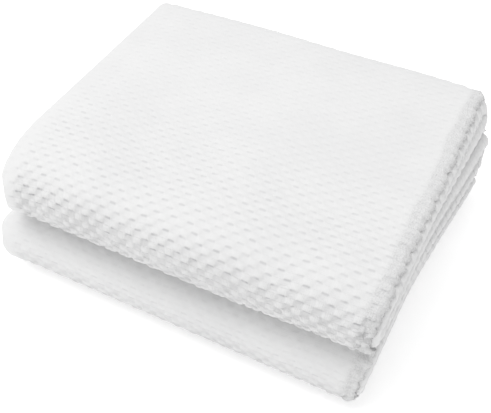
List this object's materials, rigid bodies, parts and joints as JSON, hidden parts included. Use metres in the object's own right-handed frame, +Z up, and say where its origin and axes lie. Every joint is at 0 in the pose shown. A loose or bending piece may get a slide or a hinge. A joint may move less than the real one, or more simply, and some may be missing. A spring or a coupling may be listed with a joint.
{
  "type": "waffle bath sheet",
  "caption": "Waffle-woven cotton bath sheet, folded in three lengthwise and then into a thick flat-bottomed pile with rounded bights at front and back.",
  "frame": {"origin": "middle of the folded pile's footprint, on the surface it rests on", "axes": "+X along the front bights towards the side with the hem, +Y from the front bights to the back, +Z up"},
  "size_m": [0.3666, 0.2972, 0.139],
  "materials": {
    "cotton": "matt white waffle weave"
  },
  "bodies": {
    "root": {"bath_sheet": "cotton"}
  },
  "joints": []
}
